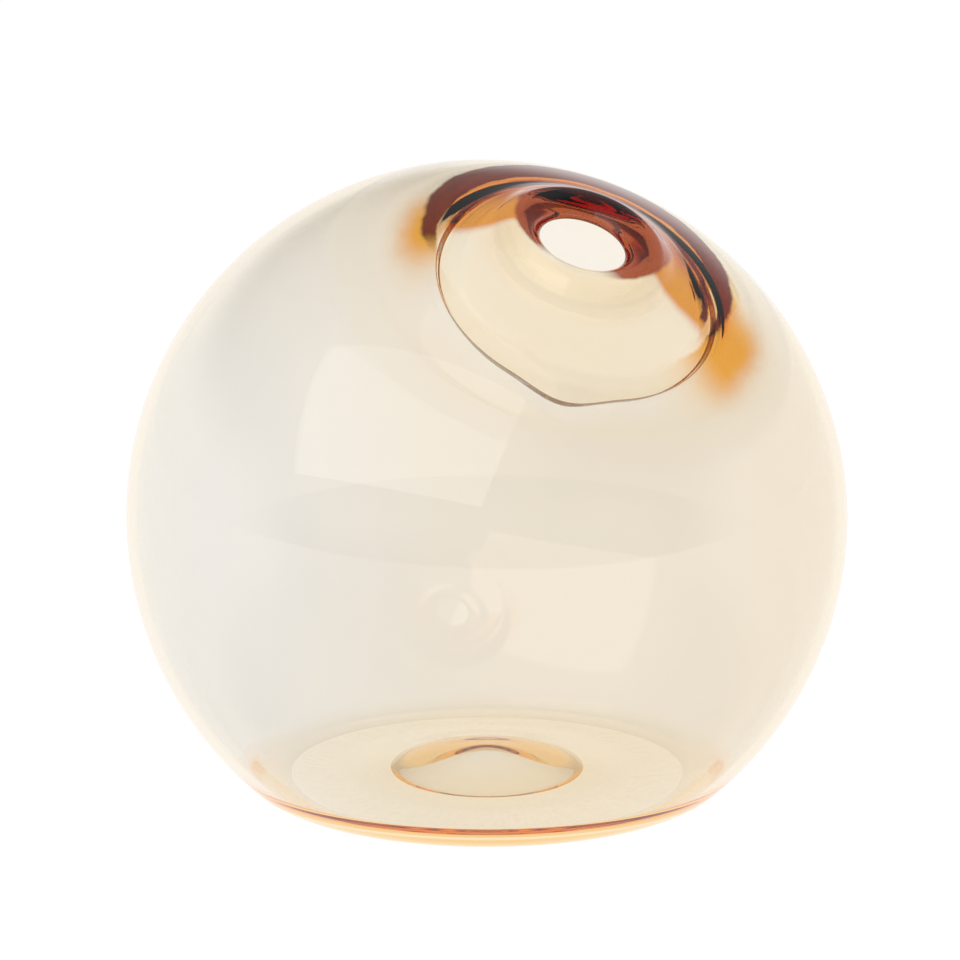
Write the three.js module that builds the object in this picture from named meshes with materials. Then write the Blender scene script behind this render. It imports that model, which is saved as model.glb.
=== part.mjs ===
// Blown glass float ball, open at a small off-centre mouth.
// One piece of glass: a hollow ball with a thin wall, a heavy collar of glass
// round the mouth, a flared fire-polished lip, and a thick flattened foot with
// a shallow kick-up.
//
// Millimetres, +Z up. The foot stands on z = 0, its centre is the origin.
// The mouth leans away from vertical toward -Y; X = 0 is the mirror plane.

import * as THREE from 'three';
import { mergeVertices } from 'three/addons/utils/BufferGeometryUtils.js';

// ---------------------------------------------------------------- the ball
const BALL_RADIUS = 75; // outside radius of the blown ball
const CENTRE_HEIGHT = 59; // ball centre above the table
const CROWN = 0.978; // the mouth end's height as a share of a true sphere's
const WALL = 2.0; // glass thickness over most of the ball

// --------------------------------------------------------------- the mouth
const MOUTH_LEAN_DEG = 30; // mouth axis from vertical, toward -Y
const LIP_RADIUS = 14.0; // crest of the flared lip
const LIP_RISE = 1.6; // that crest above the crown, along the mouth axis
const LIP_HEIGHT = BALL_RADIUS * CROWN + LIP_RISE; // from the ball centre
const LIP_FOOT_RADIUS = 23; // where the lip has died into the ball
const THROAT_RADIUS = 8.9; // narrowest part of the opening
const THROAT_DROP = 3.0; // that ring below the lip's crest

// The heavy collar: glass about twice as thick as the wall, all round the
// throat. It ends in a ridge on the inside of the ball and steps back there,
// the wall thins just outside the step, swells a little once more and then
// fades to its even thickness.
const COLLAR_THICKNESS = 3.4; // where the throat has opened out under it
const COLLAR_INNER_RADIUS = 14.5;
const COLLAR_OUTER_RADIUS = 22.6; // where the collar starts to turn up to its ridge
const COLLAR_OUTER_THICKNESS = 3.3;
const RIDGE_RADIUS = 27.0; // from the mouth axis
const RIDGE_THICKNESS = 4.0;
const STEP_WIDTH = 1.9; // from the ridge out to the thinnest wall
const THINNEST_WALL = 1.6;
const SWELL_RADIUS = 37.0;
const SWELL_THICKNESS = 2.7;
const SWELL_FADE_RADIUS = 48;

// ---------------------------------------------------------------- the foot
const HEEL_RADIUS = 13; // rounding between the ball and the foot
const KICK_RADIUS = 19.5; // hollow pushed up under the middle
const KICK_RISE = 6.4;
const FLOOR_THICKNESS = 4.6; // glass over the flat part of the foot
const BUMP_RADIUS = 32; // the floor domes up over the kick-up
const BUMP_RISE = 4.6;
const INNER_HEEL_RADIUS = 11; // rounding between the wall and the floor

// ------------------------------------------------------------- mesh density
const SEGMENTS = 64;
const OUTER_WALL_STEPS = 17;
const INNER_WALL_STEPS = 12;
const OUTER_HEEL_STEPS = 6;
const INNER_HEEL_STEPS = 6;
const SWELL_STEPS = 5;

// Between these two angles from the mouth the turned rings come level, so that
// the mouth is round about its own axis and the foot is round about vertical.
const LEAN_HOLDS_TO = THREE.MathUtils.degToRad(40);
const LEAN_GONE_BY = THREE.MathUtils.degToRad(118);

const MERGE_DISTANCE = 1e-3;

const point = (radius, height) => new THREE.Vector2(radius, height);

// Height of the mouth end at a radius from its axis, a given thickness in from
// the outside. The crown is flatter than a sphere by the same share all over.
function crownHeight(thickness, radius) {
  const sphereRadius = BALL_RADIUS - thickness;
  const height = Math.sqrt(sphereRadius ** 2 - radius ** 2);
  return height * (1 - ((1 - CROWN) * BALL_RADIUS) / sphereRadius);
}

// Angle from the mouth axis at which a sphere has a given radius.
const sphereAngle = (sphereRadius, radius) => Math.asin(radius / sphereRadius);

// Points on the ball's curve, a given thickness in from the outside, from one
// angle up to another.
function ballArc(thickness, fromAngle, toAngle, steps) {
  const sphereRadius = BALL_RADIUS - thickness;
  return Array.from({ length: steps }, (_, i) => {
    const angle = THREE.MathUtils.lerp(fromAngle, toAngle, i / steps);
    const radius = sphereRadius * Math.sin(angle);
    const height = sphereRadius * Math.cos(angle);
    return point(radius, height > 0 ? crownHeight(thickness, radius) : height);
  });
}

// The arc that rounds a sphere into a level floor: where it starts on the
// sphere, how wide the floor is inside it, and its points.
function heelArc(sphereRadius, floorHeight, rounding, steps) {
  const centreHeight = floorHeight + rounding;
  const flatRadius = Math.sqrt((sphereRadius - rounding) ** 2 - centreHeight ** 2);
  const startAngle = Math.atan2(flatRadius, centreHeight);
  const points = Array.from({ length: steps + 1 }, (_, i) => {
    const angle = THREE.MathUtils.lerp(startAngle, Math.PI, i / steps);
    return point(
      flatRadius + rounding * Math.sin(angle),
      centreHeight + rounding * Math.cos(angle),
    );
  });
  return { startAngle, points };
}

// A smooth swelling of a level floor, from its edge in to its middle.
function swelling(radius, floorHeight, rise, steps) {
  return Array.from({ length: steps + 1 }, (_, i) => {
    const share = i / steps;
    return point(radius * (1 - share), floorHeight + rise * THREE.MathUtils.smoothstep(share, 0, 1));
  });
}

// The outside of the glass, from the crest of the lip down to the kick-up.
function outerProfile() {
  const floorHeight = -CENTRE_HEIGHT;
  const heel = heelArc(BALL_RADIUS, floorHeight, HEEL_RADIUS, OUTER_HEEL_STEPS);
  const lipFoot = sphereAngle(BALL_RADIUS, LIP_FOOT_RADIUS);
  return [
    point(LIP_RADIUS, LIP_HEIGHT),
    point(LIP_RADIUS + 1.6, LIP_HEIGHT - 0.4),
    point(LIP_RADIUS + 3.2, LIP_HEIGHT - 1.5),
    point(LIP_RADIUS + 5.4, LIP_HEIGHT - 3.2),
    ...ballArc(0, lipFoot, heel.startAngle, OUTER_WALL_STEPS),
    ...heel.points,
    ...swelling(KICK_RADIUS, floorHeight, KICK_RISE, SWELL_STEPS),
  ];
}

// The throat, from beside the crest of the lip down to where it opens out.
function throatProfile() {
  const narrowest = LIP_HEIGHT - THROAT_DROP;
  return [
    point(LIP_RADIUS - 1.7, LIP_HEIGHT - 0.25),
    point(THROAT_RADIUS + 1.7, narrowest + 2.0),
    point(THROAT_RADIUS + 0.5, narrowest + 1.0),
    point(THROAT_RADIUS, narrowest),
    point(THROAT_RADIUS + 0.4, narrowest - 0.7),
    point(THROAT_RADIUS + 1.6, narrowest - 1.5),
    point(THROAT_RADIUS + 3.3, narrowest - 2.6),
  ];
}

// A point on the inside of the glass, at a radius from the mouth axis, where
// the glass has a given thickness.
const underside = (radius, thickness) => point(radius, crownHeight(thickness, radius));

// The underside of the collar, its ridge, the step back up to the wall and the
// low swelling outside the step.
function collarProfile() {
  const stepPoint = (share) =>
    underside(
      RIDGE_RADIUS + share * STEP_WIDTH,
      THREE.MathUtils.lerp(RIDGE_THICKNESS, THINNEST_WALL, share),
    );
  return [
    underside(COLLAR_INNER_RADIUS, COLLAR_THICKNESS),
    underside(
      (COLLAR_INNER_RADIUS + COLLAR_OUTER_RADIUS) / 2,
      (COLLAR_THICKNESS + COLLAR_OUTER_THICKNESS) / 2,
    ),
    underside(COLLAR_OUTER_RADIUS, COLLAR_OUTER_THICKNESS),
    underside(RIDGE_RADIUS - 1.1, RIDGE_THICKNESS - 0.2),
    stepPoint(0),
    stepPoint(0.5),
    stepPoint(1),
    underside(SWELL_RADIUS - 6, SWELL_THICKNESS - 0.5),
    underside(SWELL_RADIUS, SWELL_THICKNESS),
    underside(SWELL_RADIUS + 3.3, SWELL_THICKNESS - 0.2),
  ];
}

// The inside of the glass, from the lip down to the middle of the floor.
function innerProfile() {
  const insideRadius = BALL_RADIUS - WALL;
  const floorHeight = FLOOR_THICKNESS - CENTRE_HEIGHT;
  const heel = heelArc(insideRadius, floorHeight, INNER_HEEL_RADIUS, INNER_HEEL_STEPS);
  const collarEnd = sphereAngle(insideRadius, SWELL_FADE_RADIUS);
  return [
    ...throatProfile(),
    ...collarProfile(),
    ...ballArc(WALL, collarEnd, heel.startAngle, INNER_WALL_STEPS),
    ...heel.points,
    ...swelling(BUMP_RADIUS, floorHeight, BUMP_RISE, SWELL_STEPS),
  ];
}

// Leans each turned ring toward -Y by its share of the mouth's lean.
function leanTowardMouth(geometry) {
  const positions = geometry.getAttribute('position');
  const vertex = new THREE.Vector3();
  const xAxis = new THREE.Vector3(1, 0, 0);
  const fullLean = THREE.MathUtils.degToRad(MOUTH_LEAN_DEG);
  for (let i = 0; i < positions.count; i += 1) {
    vertex.fromBufferAttribute(positions, i);
    const fromMouth = Math.atan2(Math.hypot(vertex.x, vertex.y), vertex.z);
    const share = 1 - THREE.MathUtils.smoothstep(fromMouth, LEAN_HOLDS_TO, LEAN_GONE_BY);
    vertex.applyAxisAngle(xAxis, fullLean * share);
    positions.setXYZ(i, vertex.x, vertex.y, vertex.z);
  }
}

// One closed skin: up the outside from the kick-up, over the lip and down the
// inside to the floor, turned about the mouth axis and then leaned.
function glassBall() {
  const profile = [...outerProfile().reverse(), ...innerProfile()];
  const turned = new THREE.LatheGeometry(profile, SEGMENTS);
  turned.deleteAttribute('normal');
  turned.deleteAttribute('uv');
  turned.rotateX(Math.PI / 2);
  const geometry = mergeVertices(turned, MERGE_DISTANCE);
  leanTowardMouth(geometry);
  geometry.computeVertexNormals();
  const glass = new THREE.MeshStandardMaterial({
    color: 0xf2e6cf,
    roughness: 0.05,
    metalness: 0,
    transparent: true,
    opacity: 0.35,
  });
  const ball = new THREE.Mesh(geometry, glass);
  ball.name = 'glass_ball';
  ball.position.z = CENTRE_HEIGHT;
  return ball;
}

const floatBall = new THREE.Group();
floatBall.add(glassBall());

export default floatBall;
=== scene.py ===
"""A blown glass float ball with a small off-centre mouth, standing on a lit studio table.

The ball is one piece of glass. Its outside and its inside are each raised ring by ring from
the middle of the foot to the crest of the lip, as a gaffer would work up a bubble, and the two
skins are then joined at the lip. Lengths are in millimetres until they reach Blender, which
works in metres. The mouth leans toward -Y, and the heavy collar under it sits a little off the
mouth's axis.
"""

import logging
import math
from dataclasses import dataclass
from enum import Enum

import bmesh
import bpy
from mathutils import Matrix, Vector


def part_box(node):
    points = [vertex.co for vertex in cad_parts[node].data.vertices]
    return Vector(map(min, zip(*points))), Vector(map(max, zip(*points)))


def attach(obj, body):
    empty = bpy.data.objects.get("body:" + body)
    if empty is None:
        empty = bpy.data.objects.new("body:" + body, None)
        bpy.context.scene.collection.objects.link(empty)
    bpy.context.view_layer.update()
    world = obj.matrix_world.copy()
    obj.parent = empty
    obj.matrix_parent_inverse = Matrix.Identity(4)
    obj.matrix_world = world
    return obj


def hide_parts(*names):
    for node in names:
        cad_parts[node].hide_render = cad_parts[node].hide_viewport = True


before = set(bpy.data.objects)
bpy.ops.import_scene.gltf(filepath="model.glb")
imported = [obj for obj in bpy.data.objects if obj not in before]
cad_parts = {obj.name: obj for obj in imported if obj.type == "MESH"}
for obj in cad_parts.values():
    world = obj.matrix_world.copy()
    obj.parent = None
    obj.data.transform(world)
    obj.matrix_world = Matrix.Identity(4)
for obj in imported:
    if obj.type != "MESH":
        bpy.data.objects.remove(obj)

LOG = logging.getLogger("float_ball")
MM = 0.001
NODE = "glass_ball"
SMALLEST_TURN = 1e-7  # a ring that turns or grows by less is left as it is
LIP_GAP = 0.15  # the most that the two skins may be apart at the lip, in millimetres
CENTRE_SHARE = 59 / 75  # the centre's height over the table, in ball radii
NOISE_REACH = 0.25  # how far a noise texture mostly strays from its middle value
SENSOR = 36.0  # the camera's width of film, in millimetres

Point = tuple[float, float]
Colour = tuple[float, float, float, float]

COLLAR_MIDDLE: Point = (-1.5, -3.0)  # of the collar's painted bands, in millimetres from the mouth's axis


class Skin(Enum):
    """The two surfaces of the glass."""

    OUTSIDE = "outside"
    INSIDE = "inside"


def linear(hex_colour: str) -> Colour:
    """Turns an sRGB hex colour into the linear colour that shaders take.

    Args:
        hex_colour: Six hex digits, with or without a leading #.

    Returns:
        Linear red, green and blue, and an alpha of 1.
    """
    digits = hex_colour.lstrip("#")
    shares = [int(digits[i : i + 2], 16) / 255 for i in (0, 2, 4)]
    red, green, blue = (s / 12.92 if s <= 0.04045 else ((s + 0.055) / 1.055) ** 2.4 for s in shares)
    return (red, green, blue, 1.0)


def crossed_once(hex_colour: str) -> Colour:
    """Gives the colour to paint on one skin so that light crossing it takes the given colour.

    The glass shader takes the square root of its colour at each crossing.

    Args:
        hex_colour: The sRGB colour that the light should take.

    Returns:
        The linear colour to paint.
    """
    red, green, blue, alpha = linear(hex_colour)
    return (red * red, green * green, blue * blue, alpha)


def metres(span: Point) -> Point:
    """Turns a span from millimetres to metres."""
    return (span[0] * MM, span[1] * MM)


def smooth(share: float) -> float:
    """Eases a share between 0 and 1 at both ends."""
    held = min(1.0, max(0.0, share))
    return held * held * (3 - 2 * held)


def blend(start: float, end: float, share: float) -> float:
    """Goes from start to end in proportion to share."""
    return start + (end - start) * share


def through(points: list[Point], steps: int) -> list[Point]:
    """Draws a smooth line through a few points.

    Args:
        points: The points that the line passes through.
        steps: How many points to put on each stretch.

    Returns:
        Points along the line, without its last one.
    """
    first = (2 * points[0][0] - points[1][0], 2 * points[0][1] - points[1][1])
    last = (2 * points[-1][0] - points[-2][0], 2 * points[-1][1] - points[-2][1])
    held = [first, *points, last]
    line = []
    for i in range(1, len(held) - 2):
        for step in range(steps):
            t = step / steps
            weights = (
                0.5 * (-t + 2 * t * t - t**3),
                0.5 * (2 - 5 * t * t + 3 * t**3),
                0.5 * (t + 4 * t * t - 3 * t**3),
                0.5 * (-t * t + t**3),
            )
            near = held[i - 1 : i + 3]
            line.append(tuple(sum(w * p[k] for w, p in zip(weights, near)) for k in (0, 1)))
    return line


def add_node(
    tree: bpy.types.NodeTree,
    kind: str,
    values: dict | None = None,
    links: dict | None = None,
    **settings,
) -> bpy.types.Node:
    """Adds one node to a tree, with its settings, plain values and links.

    Args:
        tree: The node tree.
        kind: The node's type name.
        values: Input socket to plain value.
        links: Input socket to the output socket that feeds it.
        **settings: Properties of the node itself.

    Returns:
        The new node.
    """
    node = tree.nodes.new(kind)
    for name, value in settings.items():
        setattr(node, name, value)
    for socket, value in (values or {}).items():
        node.inputs[socket].default_value = value
    for socket, source in (links or {}).items():
        tree.links.new(source, node.inputs[socket])
    return node


@dataclass(frozen=True)
class Ring:
    """One ring of the ball, round about an axis through the ball's centre.

    Attributes:
        radius: The ring's radius in millimetres.
        height: Its height from the ball's centre along its own axis, in millimetres.
        lean: How far that axis leans from vertical toward -Y, in radians.
        sway: How far it then sways toward -X, in radians.
        tip: How far the ring alone tips back about its own middle, toward +X and +Y, in radians.
    """

    radius: float
    height: float
    lean: float
    sway: float = 0.0
    tip: Point = (0.0, 0.0)

    def centre(self, ball_centre: Vector) -> Vector:
        """Gives the middle of the ring in metres, from the ball's centre in metres."""
        axis = Matrix.Rotation(-self.sway, 3, "Y") @ Matrix.Rotation(self.lean, 3, "X")
        return ball_centre + axis @ Vector((0, 0, self.height * MM))

    @property
    def about_x(self) -> float:
        """Turn of the ring itself about X."""
        return self.lean - self.tip[1]

    @property
    def about_y(self) -> float:
        """Turn of the ring itself about Y."""
        return self.tip[0] - self.sway

    def turn(self) -> Matrix:
        """Gives the turn that takes a level ring to this one's tilt."""
        return Matrix.Rotation(self.about_y, 3, "Y") @ Matrix.Rotation(self.about_x, 3, "X")


@dataclass
class BallShape:
    """The drawn section of the ball, in millimetres from the ball's centre.

    Every ring is round about an axis that leans by the mouth's full lean near the mouth and
    stands upright at the foot, so the mouth is true to its own axis and the foot to the table.
    A side is a level direction in the mouth's own frame, where z runs out of the mouth.
    """

    radius: float
    centre_height: float
    crown: float = 0.978  # the mouth end is a little flatter than a sphere
    wall: float = 2.0
    # the mouth; its lean fades between two angles from its axis
    lean_deg: float = 30.0
    lean_holds_to_deg: float = 40.0
    lean_gone_by_deg: float = 118.0
    lip_radius: float = 14.0
    lip_rise: float = 1.6
    lip_foot_radius: float = 23.0
    throat_radius: float = 8.9
    throat_drop: float = 3.0
    # the heavy collar under the mouth, its ridge and the low swelling outside it
    collar: float = 3.4
    collar_inner_radius: float = 14.5
    ridge_radius: float = 27.0
    ridge: float = 4.0
    bead: float = 0.5
    crest_width: float = 3.0  # the crest of the ridge moves off the axis as one, over this width
    step_width: float = 1.9
    thinnest: float = 1.6
    swell_radius: float = 37.0
    swell: float = 2.7
    swell_fade_radius: float = 48.0
    ridge_shift: Point = (-5.15, -8.28)  # the ridge sits off the mouth's axis
    corner_push: float = 2.6
    corner_width: float = 12.0
    corner_side: Point = (-0.578, -0.816)
    far_side: Point = (0.673, 0.740)  # the side away from the camera, where the painted shade, highlight and glow lie
    tip_deg: float = -2.8  # the collar is thinner on the far side
    # the foot
    heel: float = 13.0
    kick_radius: float = 19.5
    kick_rise: float = 6.4
    floor: float = 4.6
    bump_radius: float = 32.0
    bump_rise: float = 4.6
    inner_heel: float = 11.0
    first_ring: float = 0.8  # radius of the disc at the middle of the foot
    # how many rings each stretch of the section has
    wall_rings: int = 112
    inner_wall_rings: int = 84
    heel_rings: int = 14
    inner_heel_rings: int = 26
    kick_rings: int = 16
    bump_rings: int = 14
    flat_rings: int = 6
    curve_rings: int = 6

    @property
    def lip_height(self) -> float:
        """Height of the lip's crest from the ball's centre, along the mouth's axis."""
        return self.radius * self.crown + self.lip_rise

    def section(self, skin: Skin) -> list[Ring]:
        """Lists the rings of one skin, from the middle of the foot up to the lip's crest.

        Args:
            skin: Which surface of the glass.

        Returns:
            The rings in order.
        """
        points = self._outside() if skin is Skin.OUTSIDE else self._inside()
        points.append((self.lip_radius, self.lip_height))
        return [self._ring(r, h, skin) for r, h in points]

    def _ring(self, radius: float, height: float, skin: Skin) -> Ring:
        """Gives a ring its lean from how far round from the mouth it lies.

        Args:
            radius: The ring's radius.
            height: Its height from the ball's centre.
            skin: Which surface it belongs to. Only the inside has the off-centre ridge.

        Returns:
            The ring.
        """
        from_mouth = math.degrees(math.atan2(radius, height))
        fade_width = self.lean_gone_by_deg - self.lean_holds_to_deg
        fade = (from_mouth - self.lean_holds_to_deg) / fade_width
        lean = math.radians(self.lean_deg) * (1 - smooth(fade))
        in_throat = height >= self.lip_height - self.throat_drop
        if skin is Skin.OUTSIDE or in_throat or height < 0:
            return Ring(radius, height, lean)
        share = self._ridge_share(radius) / self.radius
        tip = math.radians(self.tip_deg) * self._tip_share(radius)
        return Ring(
            radius,
            height,
            lean - share * self.ridge_shift[1],
            -share * self.ridge_shift[0],
            (tip * self.far_side[0], tip * self.far_side[1]),
        )

    def ridge_ring(self) -> Ring:
        """Gives the ring along the top of the ridge."""
        return self._ring(*self._under(self.ridge_radius, self.ridge), Skin.INSIDE)

    def _ridge_share(self, radius: float) -> float:
        """Says how far a ring under the collar moves with the off-centre ridge.

        Args:
            radius: The ring's radius.

        Returns:
            A share between 0 and 1.
        """
        start = self.collar_inner_radius
        inner = smooth((radius - start) / (self.ridge_radius - self.crest_width - start))
        foot = self.ridge_radius + self.step_width
        outer = smooth((radius - foot) / (self.swell_fade_radius - foot))
        return inner * (1 - outer)

    def _tip_share(self, radius: float) -> float:
        """Says how far a ring tips, so that the collar is thicker on one side.

        Args:
            radius: The ring's radius.

        Returns:
            A share between 0 and 1.
        """
        width = self.collar_inner_radius - self.throat_radius
        inner = smooth((radius - self.throat_radius) / width)
        outer = smooth((radius - self.ridge_radius) / self.step_width)
        return inner * (1 - outer)

    def _sphere_height(self, thickness: float, radius: float) -> float:
        """Gives the height of the mouth end at a radius.

        Args:
            thickness: Millimetres of glass over the place.
            radius: Distance from the mouth's axis.

        Returns:
            The height from the ball's centre.
        """
        under = self.radius - thickness
        height = math.sqrt(under * under - radius * radius)
        return height - (1 - self.crown) * self.radius * height / under

    def _arc(self, thickness: float, start: float, end: float, steps: int) -> list[Point]:
        """Draws the ball's curve a given thickness under its outside.

        Args:
            thickness: Millimetres of glass over the curve.
            start: Angle from the mouth axis where it starts, in radians.
            end: Angle where it ends.
            steps: Number of points.

        Returns:
            The points, without the end.
        """
        under = self.radius - thickness
        points = []
        for i in range(steps):
            angle = blend(start, end, i / steps)
            height = under * math.cos(angle)
            if height > 0:
                height *= 1 - (1 - self.crown) * self.radius / under
            points.append((under * math.sin(angle), height))
        return points

    def _foot(
        self, thickness: float, level: float, rounding: float, steps: int
    ) -> tuple[float, list[Point]]:
        """Rounds a flat floor up into the ball.

        Args:
            thickness: Millimetres from the ball's outside to the curve that the floor meets.
            level: Height of the floor from the ball's centre.
            rounding: Radius between the two.
            steps: Number of points.

        Returns:
            The angle from the mouth axis where the rounding ends, and its points from the floor up.
        """
        under = self.radius - thickness
        middle = level + rounding
        flat = math.sqrt((under - rounding) ** 2 - middle**2)
        top = math.atan2(flat, middle)
        points = []
        for i in range(steps):
            angle = blend(math.pi, top, i / steps)
            points.append((flat + rounding * math.sin(angle), middle + rounding * math.cos(angle)))
        return top, points

    def _swelling(
        self, radius: float, level: float, rise: float, flat: float, steps: int
    ) -> list[Point]:
        """Draws a floor from its raised middle out to the start of its rounding.

        Args:
            radius: Radius of the raised middle.
            level: Height of the flat part from the ball's centre.
            rise: How far the middle stands over the flat part.
            flat: Radius at which the flat part ends.
            steps: Number of points on the raised middle.

        Returns:
            The points, without the end of the flat part.
        """
        points = []
        for i in range(steps):
            at = blend(self.first_ring, radius, i / steps)
            points.append((at, level + rise * (1 - smooth(at / radius))))
        for i in range(self.flat_rings):
            points.append((blend(radius, flat, i / self.flat_rings), level))
        return points

    def _outside(self) -> list[Point]:
        """Draws the outside.

        Returns:
            Its points, from the kick-up to just below the lip's crest.
        """
        level = -self.centre_height
        top, rounding = self._foot(0, level, self.heel, self.heel_rings)
        flat = rounding[0][0]
        foot = self._swelling(self.kick_radius, level, self.kick_rise, flat, self.kick_rings)
        lip_foot = math.asin(self.lip_foot_radius / self.radius)
        ball = self._arc(0, top, lip_foot, self.wall_rings)
        lip = through(
            [
                (self.lip_foot_radius, self._sphere_height(0, self.lip_foot_radius)),
                (self.lip_radius + 5.4, self.lip_height - 3.2),
                (self.lip_radius + 3.2, self.lip_height - 1.5),
                (self.lip_radius + 1.6, self.lip_height - 0.4),
                (self.lip_radius, self.lip_height),
            ],
            self.curve_rings,
        )
        return foot + rounding + ball + lip

    def _inside(self) -> list[Point]:
        """Draws the inside.

        Returns:
            Its points, from the middle of the floor to just inside the lip's crest.
        """
        level = self.floor - self.centre_height
        top, rounding = self._foot(self.wall, level, self.inner_heel, self.inner_heel_rings)
        flat = rounding[0][0]
        foot = self._swelling(self.bump_radius, level, self.bump_rise, flat, self.bump_rings)
        fade = math.asin(self.swell_fade_radius / (self.radius - self.wall))
        ball = self._arc(self.wall, top, fade, self.inner_wall_rings)
        collar = through(self._collar(), self.curve_rings)
        throat = through(self._throat(), self.curve_rings)
        return foot + rounding + ball + collar + throat

    def _under(self, radius: float, thickness: float) -> Point:
        """Gives the point of the inside that has a given thickness of glass over it."""
        return (radius, self._sphere_height(thickness, radius))

    def _collar(self) -> list[Point]:
        """Draws the swelling, the step, the beaded ridge and the underside of the collar.

        Returns:
            A few points that the inside passes through, from the wall in to the throat.
        """
        ridge = self.ridge_radius
        step = self.step_width
        inner = self.collar_inner_radius
        low = self.ridge - self.bead
        return [
            self._under(self.swell_fade_radius, self.wall),
            self._under(self.swell_radius + 4, self.swell - 0.2),
            self._under(self.swell_radius + 0.7, self.swell),
            self._under(ridge + step + 2.9, self.swell - 0.5),
            self._under(ridge + step + 0.9, self.thinnest + 0.15),
            self._under(ridge + step, self.thinnest),
            self._under(ridge + 0.8 * step, blend(self.ridge, self.thinnest, 0.9)),
            self._under(ridge + 0.5 * step, blend(self.ridge, self.thinnest, 0.5)),
            self._under(ridge + 0.2 * step, blend(self.ridge, self.thinnest, 0.1)),
            self._under(ridge, self.ridge),
            self._under(ridge - 1.1, self.ridge - 0.4 * self.bead),
            self._under(ridge - 2.6, low),
            self._under(ridge - 4.4, low - 0.3),
            self._under(blend(inner, ridge - 4.4, 0.5), blend(self.collar, low - 0.3, 0.5)),
            self._under(inner, self.collar),
        ]

    def _throat(self) -> list[Point]:
        """Draws the throat.

        Returns:
            A few points that it passes through, from the collar's underside up to the crest.
        """
        narrow = self.lip_height - self.throat_drop
        wide = self.throat_radius
        return [
            self._under(self.collar_inner_radius, self.collar),
            (wide + 3.3, narrow - 2.6),
            (wide + 1.6, narrow - 1.5),
            (wide + 0.4, narrow - 0.7),
            (wide, narrow),
            (wide + 0.5, narrow + 1.0),
            (wide + 1.7, narrow + 2.0),
            (self.lip_radius - 1.7, self.lip_height - 0.25),
            (self.lip_radius, self.lip_height),
        ]


@dataclass(frozen=True)
class Edge:
    """The edge of a painted band, a circle about an axis beside the mouth's own.

    Attributes:
        middle: Where that axis passes, in millimetres from the mouth's axis.
        radius: The circle's radius in millimetres.
        soft: Over how many millimetres the band fades there.
    """

    middle: Point
    radius: float
    soft: float


@dataclass(frozen=True)
class PaintedBand:
    """One band of colour painted about the mouth. All but the collar's white stand for light and
    shade in the glass: painted glow, highlight, dark reflection and shade.

    Attributes:
        colour: Its colour where it is full.
        inner: Its inner edge, or None if it covers the middle.
        outer: Its outer edge.
        side: Cosines of the angle from the fumed side over which it comes in.
        clears: Cosines over which it goes out again, toward the far side. Over 1 is never.
        above: Millimetres above the ball's centre, along the mouth's axis, over which it comes in.
        outside_only: True if it lies on the outside of the glass alone.
    """

    colour: str
    inner: Edge | None
    outer: Edge
    side: Point
    clears: Point = (1.1, 1.2)
    above: Point = (30.0, 45.0)
    outside_only: bool = True


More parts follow.
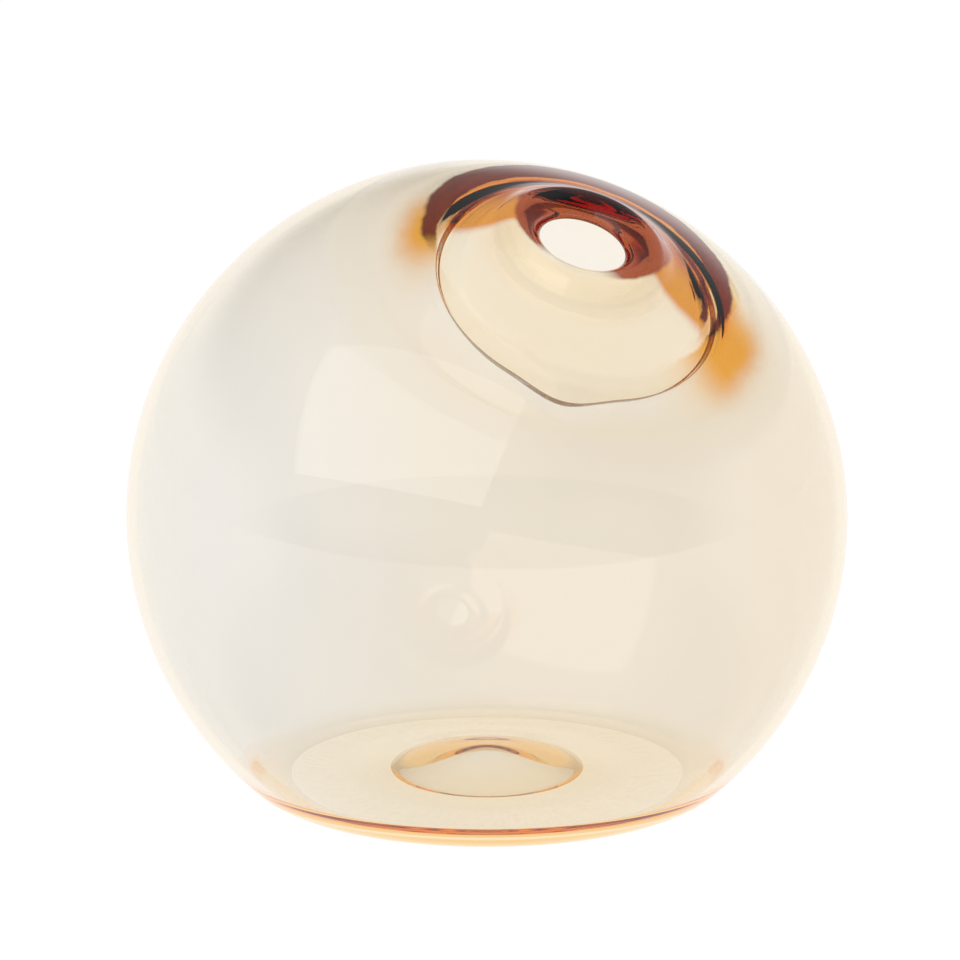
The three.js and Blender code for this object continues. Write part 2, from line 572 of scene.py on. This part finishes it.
@dataclass(frozen=True)
class AmberGlass:
    """Soda-lime glass, blown and fire-polished, tinted a straw amber all through.

    A thin wall looks almost clear. The foot and the collar hold more glass, so they turn yellow,
    and light that runs along inside the glass comes out orange and brown. Over the collar's far
    half, away from the camera, that light is painted on as colour: an amber glow, redder farther
    round, a painted highlight along the rim with a painted dark reflection inside it, a painted
    dark band round them with a painted golden glow at its ends, and painted red-brown shade in the
    lip and funnel.
    The clear glass is painted cooler on the window's side and warmer on the other.
    """

    ior: float = 1.5  # soda-lime glass
    roughness: float = 0.0  # fire-polished: no grain is left
    absorption: Colour = (0.968, 0.683, 0.05, 1.0)  # straw amber: blue goes first, then green
    density: float = 60.0  # per metre
    painted_cool_light: str = "#f5f8ff"  # painted cool light from the window, on this side
    # painted warm light, on the side away from the window
    painted_warm_light: str = "#f6f4f2"
    warm_way: tuple[float, float, float] = (0.848, -0.530, 0.0)  # from the cool side to the warm
    cool_to_warm: Point = (-0.95, 0.1)  # where it turns, in ball radii from the ball's centre
    painted_bands: tuple[PaintedBand, ...] = (
        # the collar, whiter than the wall all round
        PaintedBand(
            "#ffffff", None, Edge((-1.5, -4.0), 29.0, 2.0), (-1.2, -1.1), outside_only=False
        ),
        # painted amber glow of the light that runs inside the thick collar, over its far half,
        # redder farther round
        PaintedBand("#ecac55", None, Edge(COLLAR_MIDDLE, 29.2, 0.8), (-0.34, -0.2)),
        PaintedBand("#d07a44", None, Edge(COLLAR_MIDDLE, 29.2, 0.8), (0.0, 0.5)),
        # painted golden glow of light coming out of the glass at the ends of the painted dark band,
        # paler outside
        PaintedBand(
            "#f6d68c",
            Edge(COLLAR_MIDDLE, 29.0, 1.0),
            Edge((1.0, -3.0), 38.0, 9.0),
            (-0.8, -0.3),
            (0.0, 0.4),
        ),
        PaintedBand(
            "#f4b84c",
            Edge(COLLAR_MIDDLE, 29.0, 1.0),
            Edge((1.0, -3.0), 37.5, 6.0),
            (-0.6, -0.3),
            (-0.1, 0.3),
        ),
        # a thin painted dark reflection within the collar, and a painted highlight along its rim
        PaintedBand(
            "#7c3b34",
            Edge((-3.0, -5.0), 25.8, 0.5),
            Edge((-3.0, -5.0), 27.5, 0.5),
            (-0.2, -0.14),
        ),
        PaintedBand(
            "#f7cfa0",
            Edge(COLLAR_MIDDLE, 27.7, 0.5),
            Edge(COLLAR_MIDDLE, 29.2, 0.5),
            (-0.45, -0.2),
        ),
        # painted shade: the dark brown band outside it, on the far half only
        PaintedBand(
            "#7a3008",
            Edge(COLLAR_MIDDLE, 29.2, 0.5),
            Edge((2.5, 3.0), 32.5, 1.0),
            (-0.5, -0.25),
        ),
        # painted red-brown shade in the lip and the funnel, through the glass
        PaintedBand(
            "#7a1f0a",
            None,
            Edge((3.0, 2.0), 16.5, 1.0),
            (-0.95, -0.7),
            above=(70.8, 71.6),
            outside_only=False,
        ),
    )
    outside_from: Point = (72.7, 73.1)  # millimetres from the ball's centre
    ragged: float = 0.5  # how far a band's edge wanders, in millimetres
    ragged_size: float = 6.0  # over what length it wanders, in millimetres

    def make(self, shape: BallShape) -> bpy.types.Material:
        """Builds the material.

        Args:
            shape: The ball it dresses, for the place of the mouth.

        Returns:
            The material.
        """
        material = bpy.data.materials.new("soda_lime_glass_blown_amber")
        material.use_nodes = True
        tree = material.node_tree
        tree.nodes.clear()
        coords = add_node(tree, "ShaderNodeTexCoord")
        tint = self._tint(tree, coords, shape)
        shader = add_node(
            tree,
            "ShaderNodeBsdfPrincipled",
            {"Transmission Weight": 1.0, "Roughness": self.roughness, "IOR": self.ior},
            {"Base Color": tint},
        )
        volume = add_node(
            tree, "ShaderNodeVolumeAbsorption", {"Color": self.absorption, "Density": self.density}
        )
        add_node(
            tree,
            "ShaderNodeOutputMaterial",
            links={"Surface": shader.outputs[0], "Volume": volume.outputs[0]},
        )
        return material

    def _tint(
        self, tree: bpy.types.NodeTree, coords: bpy.types.Node, shape: BallShape
    ) -> bpy.types.NodeSocket:
        """Paints the bands round the mouth over the clear glass: painted glow, highlight, dark
        reflection and shade over the collar's far half and the lip.

        Args:
            tree: The material's node tree.
            coords: Its texture coordinates.
            shape: The ball it dresses.

        Returns:
            The colour socket for the shader.
        """
        # Turned into the mouth's own frame: z runs out of the mouth, from the ball's centre.
        about_mouth = add_node(
            tree,
            "ShaderNodeMapping",
            {
                "Location": (0, 0, shape.centre_height * MM),
                "Rotation": (math.radians(shape.lean_deg), 0, 0),
            },
            {"Vector": coords.outputs["Object"]},
            vector_type="TEXTURE",
        )
        split = add_node(tree, "ShaderNodeSeparateXYZ", links={0: about_mouth.outputs[0]})
        wander = add_node(
            tree,
            "ShaderNodeTexNoise",
            {"Scale": 1 / (self.ragged_size * MM), "Detail": 4.0},
            {"Vector": about_mouth.outputs[0]},
        )
        middle = add_node(
            tree,
            "ShaderNodeVectorMath",
            {1: (0.5, 0.5, 0.5)},
            {0: wander.outputs["Color"]},
            operation="SUBTRACT",
        )
        place = add_node(
            tree,
            "ShaderNodeVectorMath",
            {1: (self.ragged * MM / NOISE_REACH,) * 3},
            {0: middle.outputs[0], 2: about_mouth.outputs[0]},
            operation="MULTIPLY_ADD",
        ).outputs[0]
        side = self._side(tree, about_mouth.outputs[0], shape)
        out = add_node(
            tree, "ShaderNodeVectorMath", links={0: about_mouth.outputs[0]}, operation="LENGTH"
        )
        outside = self._ease(tree, out.outputs["Value"], metres(self.outside_from))
        # the clear glass, painted cool on the window's side and warm on the other
        colour = self._painted_window_light(tree, coords, shape)
        for band in self.painted_bands:
            shares = [
                self._ease(tree, split.outputs["Z"], metres(band.above)),
                self._ease(tree, side, band.side),
                self._ease(tree, side, band.clears[::-1]),
                self._at_edge(tree, place, band.outer, within=True),
            ]
            if band.inner:
                shares.append(self._at_edge(tree, place, band.inner, within=False))
            if band.outside_only:
                shares.append(outside)
            amount = shares[0]
            for share in shares[1:]:
                amount = add_node(
                    tree, "ShaderNodeMath", links={0: amount, 1: share}, operation="MULTIPLY"
                ).outputs[0]
            painted = crossed_once(band.colour) if band.outside_only else linear(band.colour)
            colour = add_node(
                tree,
                "ShaderNodeMix",
                {"B": painted},
                {"Factor": amount, "A": colour},
                data_type="RGBA",
            ).outputs["Result"]
        return colour

    def _painted_window_light(
        self, tree: bpy.types.NodeTree, coords: bpy.types.Node, shape: BallShape
    ) -> bpy.types.NodeSocket:
        """Paints the window's light into the clear glass: cooler on the window's side, warmer on
        the other.

        Args:
            tree: The material's node tree.
            coords: Its texture coordinates.
            shape: The ball it dresses.

        Returns:
            The colour socket of the clear glass, with its painted light.
        """
        across = add_node(
            tree,
            "ShaderNodeVectorMath",
            {1: self.warm_way},
            {0: coords.outputs["Object"]},
            operation="DOT_PRODUCT",
        )
        start, end = self.cool_to_warm
        span = metres((start * shape.radius, end * shape.radius))
        share = self._ease(tree, across.outputs["Value"], span)
        return add_node(
            tree,
            "ShaderNodeMix",
            {"A": linear(self.painted_cool_light), "B": linear(self.painted_warm_light)},
            {"Factor": share},
            data_type="RGBA",
        ).outputs["Result"]

    def _ease(
        self, tree: bpy.types.NodeTree, source: bpy.types.NodeSocket, span: Point
    ) -> bpy.types.NodeSocket:
        """Turns a value into an eased share between 0 at the span's first end and 1 at its last."""
        return add_node(
            tree,
            "ShaderNodeMapRange",
            {"From Min": span[0], "From Max": span[1]},
            {"Value": source},
            interpolation_type="SMOOTHSTEP",
        ).outputs[0]

    def _at_edge(
        self, tree: bpy.types.NodeTree, place: bpy.types.NodeSocket, edge: Edge, within: bool
    ) -> bpy.types.NodeSocket:
        """Gives the share of a band at one of its edges.

        Args:
            tree: The material's node tree.
            place: The place in the mouth's frame, in metres.
            edge: The edge.
            within: True if the band lies within the edge, False if it lies outside it.

        Returns:
            A share between 0 and 1.
        """
        flat = add_node(
            tree,
            "ShaderNodeVectorMath",
            {1: (1, 1, 0), 2: (-edge.middle[0] * MM, -edge.middle[1] * MM, 0)},
            {0: place},
            operation="MULTIPLY_ADD",
        )
        away = add_node(
            tree, "ShaderNodeVectorMath", links={0: flat.outputs[0]}, operation="LENGTH"
        )
        span = metres((edge.radius - edge.soft / 2, edge.radius + edge.soft / 2))
        return self._ease(tree, away.outputs["Value"], span[::-1] if within else span)

    def _side(
        self, tree: bpy.types.NodeTree, place: bpy.types.NodeSocket, shape: BallShape
    ) -> bpy.types.NodeSocket:
        """Tells how far round the mouth's axis a place lies.

        Args:
            tree: The material's node tree.
            place: The place in the mouth's frame, in metres.
            shape: The ball it dresses, for the far side.

        Returns:
            The cosine of the angle from the far side.
        """
        flat = add_node(
            tree,
            "ShaderNodeVectorMath",
            {1: (1 / MM, 1 / MM, 0)},
            {0: place},
            operation="MULTIPLY",
        )
        way = add_node(
            tree, "ShaderNodeVectorMath", links={0: flat.outputs[0]}, operation="NORMALIZE"
        )
        return add_node(
            tree,
            "ShaderNodeVectorMath",
            {1: (*shape.far_side, 0)},
            {0: way.outputs[0]},
            operation="DOT_PRODUCT",
        ).outputs["Value"]


@dataclass(frozen=True)
class Ripple:
    """A wavering of the inside of the glass.

    Attributes:
        depth: From crest to trough, in millimetres.
        length: From crest to crest, in millimetres.
        starts: Millimetres above the ball's centre over which it comes in.
    """

    depth: float
    length: float
    starts: Point


@dataclass
class GlassBall:
    """The ball itself: two skins raised from the foot and joined at the lip."""

    shape: BallShape
    finish: AmberGlass
    segments: int = 208
    ripples: tuple[Ripple, ...] = (
        Ripple(0.07, 22.0, (-45.0, -25.0)),
        Ripple(0.10, 5.0, (20.0, 40.0)),
    )
    still_from: Point = (8.0, 3.0)  # millimetres from the lip over which the ripples die out

    @property
    def centre(self) -> Vector:
        """The ball's centre in metres."""
        return Vector((0, 0, self.shape.centre_height * MM))

    def build(self) -> bpy.types.Object:
        """Raises both skins, joins them and dresses the glass.

        Returns:
            The finished piece.
        """
        skins = [self._raise_skin(self.shape.section(skin), skin) for skin in Skin]
        bpy.ops.object.select_all(action="DESELECT")
        for skin in skins:
            skin.select_set(True)
        bpy.context.view_layer.objects.active = skins[0]
        bpy.ops.object.join()
        piece = bpy.context.object
        piece.name = "blown_ball"
        piece.data.name = "blown_ball"
        self._close_at_lip()
        bpy.ops.object.shade_smooth()
        piece.data.materials.clear()
        piece.data.materials.append(self.finish.make(self.shape))
        LOG.info("glass ball: %d faces", len(piece.data.polygons))
        return piece

    def _raise_skin(self, rings: list[Ring], skin: Skin) -> bpy.types.Object:
        """Raises one skin from a small disc at the middle of the foot.

        Args:
            rings: The rings of its section, from the foot up.
            skin: Which surface it is.

        Returns:
            The open skin, ending at the lip's crest.
        """
        bpy.ops.object.select_all(action="DESELECT")
        first = rings[0]
        bpy.ops.mesh.primitive_circle_add(
            vertices=self.segments,
            radius=first.radius * MM,
            location=first.centre(self.centre),
            fill_type="TRIFAN",
        )
        made = bpy.context.object
        made.name = f"skin_{skin.value}"
        bpy.ops.object.transform_apply(location=True, rotation=True, scale=True)
        bpy.ops.object.mode_set(mode="EDIT")
        bpy.ops.mesh.select_all(action="SELECT")
        bpy.ops.mesh.region_to_loop()
        for below, above in zip(rings[:-1], rings[1:]):
            self._raise_ring(below, above)
        if skin is Skin.INSIDE:
            self._pull_corner(made)
        bpy.ops.object.mode_set(mode="OBJECT")
        if skin is Skin.INSIDE:
            for ripple in self.ripples:
                self._ripple(made, ripple)
        return made

    def _ripple(self, skin: bpy.types.Object, ripple: Ripple) -> None:
        """Lets the skin waver, as glass does where the breath stretches it unevenly.

        Args:
            skin: The inside skin, in object mode.
            ripple: How deep and how long the wavering is, and where it comes in.
        """
        group = skin.vertex_groups.new(name="ripple")
        start, full = ripple.starts
        fade, still = self.still_from
        for vertex in skin.data.vertices:
            place = vertex.co - self.centre
            share = smooth((place.z / MM - start) / (full - start))
            to_lip = self.shape.lip_height - place.length / MM
            on_lip = smooth((fade - to_lip) / (fade - still))
            group.add([vertex.index], share * (1 - on_lip), "REPLACE")
        texture = bpy.data.textures.new("ripple", type="CLOUDS")
        texture.noise_scale = ripple.length * MM
        modifier = skin.modifiers.new("ripple", "DISPLACE")
        modifier.texture = texture
        modifier.texture_coords = "LOCAL"
        modifier.strength = ripple.depth * MM
        modifier.mid_level = 0.5
        modifier.vertex_group = group.name
        bpy.ops.object.select_all(action="DESELECT")
        skin.select_set(True)
        bpy.context.view_layer.objects.active = skin
        bpy.ops.object.modifier_apply(modifier=modifier.name)
        skin.vertex_groups.remove(skin.vertex_groups["ripple"])

    def _raise_ring(self, below: Ring, above: Ring) -> None:
        """Extrudes the open edge up to the next ring, then sizes and tilts it.

        Args:
            below: The ring that is selected, with its edges open.
            above: The ring to make.
        """
        start = below.centre(self.centre)
        end = above.centre(self.centre)
        bpy.ops.mesh.extrude_edges_move(TRANSFORM_OT_translate={"value": tuple(end - start)})
        growth = above.radius / below.radius
        if abs(growth - 1) > SMALLEST_TURN:
            bpy.ops.transform.resize(value=(growth, growth, growth), center_override=tuple(end))
        turns = ((above.about_x - below.about_x, "X"), (above.about_y - below.about_y, "Y"))
        for angle, axis in turns:
            if abs(angle) > SMALLEST_TURN:
                bpy.ops.transform.rotate(value=-angle, orient_axis=axis, center_override=tuple(end))

    def corner(self) -> tuple[Vector, Vector]:
        """Finds where the ridge has its soft corner, on its thick near side.

        Returns:
            The place on the ridge in metres, and the way out from the mouth's axis there.
        """
        shape = self.shape
        ridge = shape.ridge_ring()
        out = ridge.turn() @ Vector((*shape.corner_side, 0)).normalized()
        return ridge.centre(self.centre) + out * (ridge.radius * MM), out

    def _pull_corner(self, skin: bpy.types.Object) -> None:
        """Pulls the ridge out to its soft corner, where the gather was cut off.

        Args:
            skin: The inside skin, in edit mode.
        """
        place, out = self.corner()
        bpy.ops.mesh.select_all(action="DESELECT")
        mesh = bmesh.from_edit_mesh(skin.data)
        nearest = min(mesh.verts, key=lambda v: (v.co - place).length)
        nearest.select_set(True)
        bmesh.update_edit_mesh(skin.data)
        bpy.ops.transform.translate(
            value=tuple(out * (self.shape.corner_push * MM)),
            use_proportional_edit=True,
            use_proportional_connected=True,
            proportional_edit_falloff="SMOOTH",
            proportional_size=self.shape.corner_width * MM,
        )

    def _close_at_lip(self) -> None:
        """Merges the two skins along the lip's crest and turns all faces outwards."""
        bpy.ops.object.mode_set(mode="EDIT")
        bpy.ops.mesh.select_all(action="DESELECT")
        bpy.ops.mesh.select_non_manifold()
        bpy.ops.mesh.remove_doubles(threshold=LIP_GAP * MM)
        bpy.ops.mesh.select_all(action="SELECT")
        bpy.ops.mesh.normals_make_consistent(inside=False)
        bpy.ops.object.mode_set(mode="OBJECT")


@dataclass
class Studio:
    """A table lit from below, a white room that darkens above and behind, and one soft box.

    Directions are an azimuth and an elevation in degrees, seen from the ball. Azimuth 0 is
    toward -Y, and it grows toward +X.
    """

    ball_centre: Vector
    ball_radius: float
    # the camera
    azimuth_deg: float = -32.0
    elevation_deg: float = 13.0
    distance: float = 14.0  # in ball radii
    fill: float = 0.75208  # the ball's share of the frame's half width
    shift: Point = (-0.00729, 0.03646)  # in frame widths
    clip_start: float = 0.01
    # the table
    table_size: float = 12.0
    table_glow: float = 1.03
    # the room, white round the table
    white: float = 1.0
    ceiling: float = 0.4
    ceiling_from: Point = (0.15, 0.45)  # sines of the elevation over which it darkens
    far_wall: float = 0.45  # behind the camera
    far_wall_from: Point = (0.0, 0.5)  # cosines of the angle from the camera
    # the window and the soft box in it
    window: Point = (-65.0, 42.0)
    window_glow: float = 0.5
    window_reach: Point = (0.55, 0.95)  # cosines of the angle from the window
    lamp_away: float = 1.6
    lamp_size: Point = (2.0, 1.2)
    lamp_power: float = 5.5
    # how many times light is followed
    bounces: int = 48
    transparent_bounces: int = 16

    def build(self) -> None:
        """Sets up the table, the room, the lamp and the camera."""
        self._table()
        self._room()
        self._lamp()
        self._camera()
        self._light_paths()
        LOG.info("studio: camera %.2f m from the ball", self.ball_radius * self.distance)

    def _table(self) -> None:
        """Lays a wide table of opal acrylic, lit from below so that it casts no hard shadow."""
        bpy.ops.object.select_all(action="DESELECT")
        bpy.ops.mesh.primitive_plane_add(size=self.table_size, location=(0, 0, 0))
        table = bpy.context.object
        table.name = "table"
        material = bpy.data.materials.new("opal_acrylic_sheet")
        material.use_nodes = True
        tree = material.node_tree
        tree.nodes.clear()
        # A matt sheet seen by its own glow: it throws back little of the lamp's light.
        shader = add_node(
            tree,
            "ShaderNodeBsdfPrincipled",
            {
                "Base Color": linear("#202020"),
                "Roughness": 0.9,
                "Specular IOR Level": 0.0,
                "Emission Color": linear("#ffffff"),
                "Emission Strength": self.table_glow,
            },
        )
        add_node(tree, "ShaderNodeOutputMaterial", links={"Surface": shader.outputs[0]})
        table.data.materials.append(material)

    def _room(self) -> None:
        """Lights the room: white round the table, darker above and behind the camera."""
        world = bpy.data.worlds.new("studio")
        bpy.context.scene.world = world
        world.use_nodes = True
        tree = world.node_tree
        tree.nodes.clear()
        coords = add_node(tree, "ShaderNodeTexCoord")
        split = add_node(tree, "ShaderNodeSeparateXYZ", links={0: coords.outputs["Generated"]})
        height = self._ramp(
            tree, split.outputs["Z"], self.ceiling_from, (self.white, self.ceiling)
        )
        back = self._direction(self.azimuth_deg, self.elevation_deg)
        facing = self._toward(tree, coords, back)
        behind = self._ramp(tree, facing, self.far_wall_from, (1.0, self.far_wall))
        both = add_node(
            tree, "ShaderNodeMath", links={0: height, 1: behind}, operation="MULTIPLY"
        )
        toward_window = self._toward(tree, coords, self._direction(*self.window))
        glow = self._ramp(tree, toward_window, self.window_reach, (0.0, self.window_glow))
        lit = add_node(
            tree,
            "ShaderNodeMath",
            links={0: both.outputs[0], 1: glow},
            operation="ADD",
        )
        sky = add_node(tree, "ShaderNodeBackground", links={"Color": lit.outputs[0]})
        add_node(tree, "ShaderNodeOutputWorld", links={"Surface": sky.outputs[0]})

    def _ramp(
        self, tree: bpy.types.NodeTree, source: bpy.types.NodeSocket, span: Point, levels: Point
    ) -> bpy.types.NodeSocket:
        """Eases from one level to another as a value crosses a span."""
        return add_node(
            tree,
            "ShaderNodeMapRange",
            {"From Min": span[0], "From Max": span[1], "To Min": levels[0], "To Max": levels[1]},
            {"Value": source},
            interpolation_type="SMOOTHSTEP",
        ).outputs[0]

    def _toward(
        self, tree: bpy.types.NodeTree, coords: bpy.types.Node, way: Vector
    ) -> bpy.types.NodeSocket:
        """Gives the cosine of the angle from a direction."""
        return add_node(
            tree,
            "ShaderNodeVectorMath",
            {1: tuple(way)},
            {0: coords.outputs["Generated"]},
            operation="DOT_PRODUCT",
        ).outputs["Value"]

    def _direction(self, azimuth_deg: float, elevation_deg: float) -> Vector:
        """Gives the direction from the ball to a place in the room.

        Args:
            azimuth_deg: Degrees round from -Y, toward +X.
            elevation_deg: Degrees above level.

        Returns:
            A direction one long.
        """
        azimuth = math.radians(azimuth_deg)
        elevation = math.radians(elevation_deg)
        return Vector(
            (
                math.sin(azimuth) * math.cos(elevation),
                -math.cos(azimuth) * math.cos(elevation),
                math.sin(elevation),
            )
        )

    def _lamp(self) -> None:
        """Hangs one large soft box high on the left, inside the glow of the window."""
        toward = self._direction(*self.window)
        bpy.ops.object.light_add(
            type="AREA", location=self.ball_centre + toward * self.lamp_away
        )
        lamp = bpy.context.object
        lamp.name = "soft_box_window"
        lamp.rotation_mode = "QUATERNION"
        lamp.rotation_quaternion = (-toward).to_track_quat("-Z", "Y")
        lamp.data.shape = "RECTANGLE"
        lamp.data.size, lamp.data.size_y = self.lamp_size
        lamp.data.energy = self.lamp_power

    def _camera(self) -> None:
        """Places the camera a little above the ball, square to it, with a small shift."""
        back = self._direction(self.azimuth_deg, self.elevation_deg)
        away = self.ball_radius * self.distance
        bpy.ops.object.camera_add(location=self.ball_centre + back * away)
        camera = bpy.context.object
        camera.name = "camera"
        camera.rotation_mode = "QUATERNION"
        camera.rotation_quaternion = (-back).to_track_quat("-Z", "Y")
        half_view = math.tan(math.asin(1 / self.distance)) / self.fill
        camera.data.sensor_width = SENSOR
        camera.data.lens = SENSOR / 2 / half_view
        camera.data.shift_x, camera.data.shift_y = self.shift
        camera.data.clip_start = self.clip_start
        bpy.context.scene.camera = camera

    def _light_paths(self) -> None:
        """Lets light run round inside the thick glass many times before it comes out."""
        scene = bpy.context.scene
        scene.view_settings.view_transform = "Standard"
        scene.cycles.max_bounces = self.bounces
        scene.cycles.transmission_bounces = self.bounces
        scene.cycles.glossy_bounces = self.bounces
        scene.cycles.transparent_max_bounces = self.transparent_bounces


def main() -> None:
    """Builds the ball, sized from the part's box, and the studio."""
    logging.basicConfig(level=logging.INFO, format="%(name)s: %(message)s")
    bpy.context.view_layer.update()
    low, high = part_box(NODE)
    radius = (high[0] - low[0]) / 2
    centre_height = radius * CENTRE_SHARE
    ball = GlassBall(BallShape(radius / MM, centre_height / MM), AmberGlass())
    piece = ball.build()
    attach(piece, "root")
    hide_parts(NODE)
    Studio(ball.centre, radius).build()


if __name__ == "__main__":
    main()
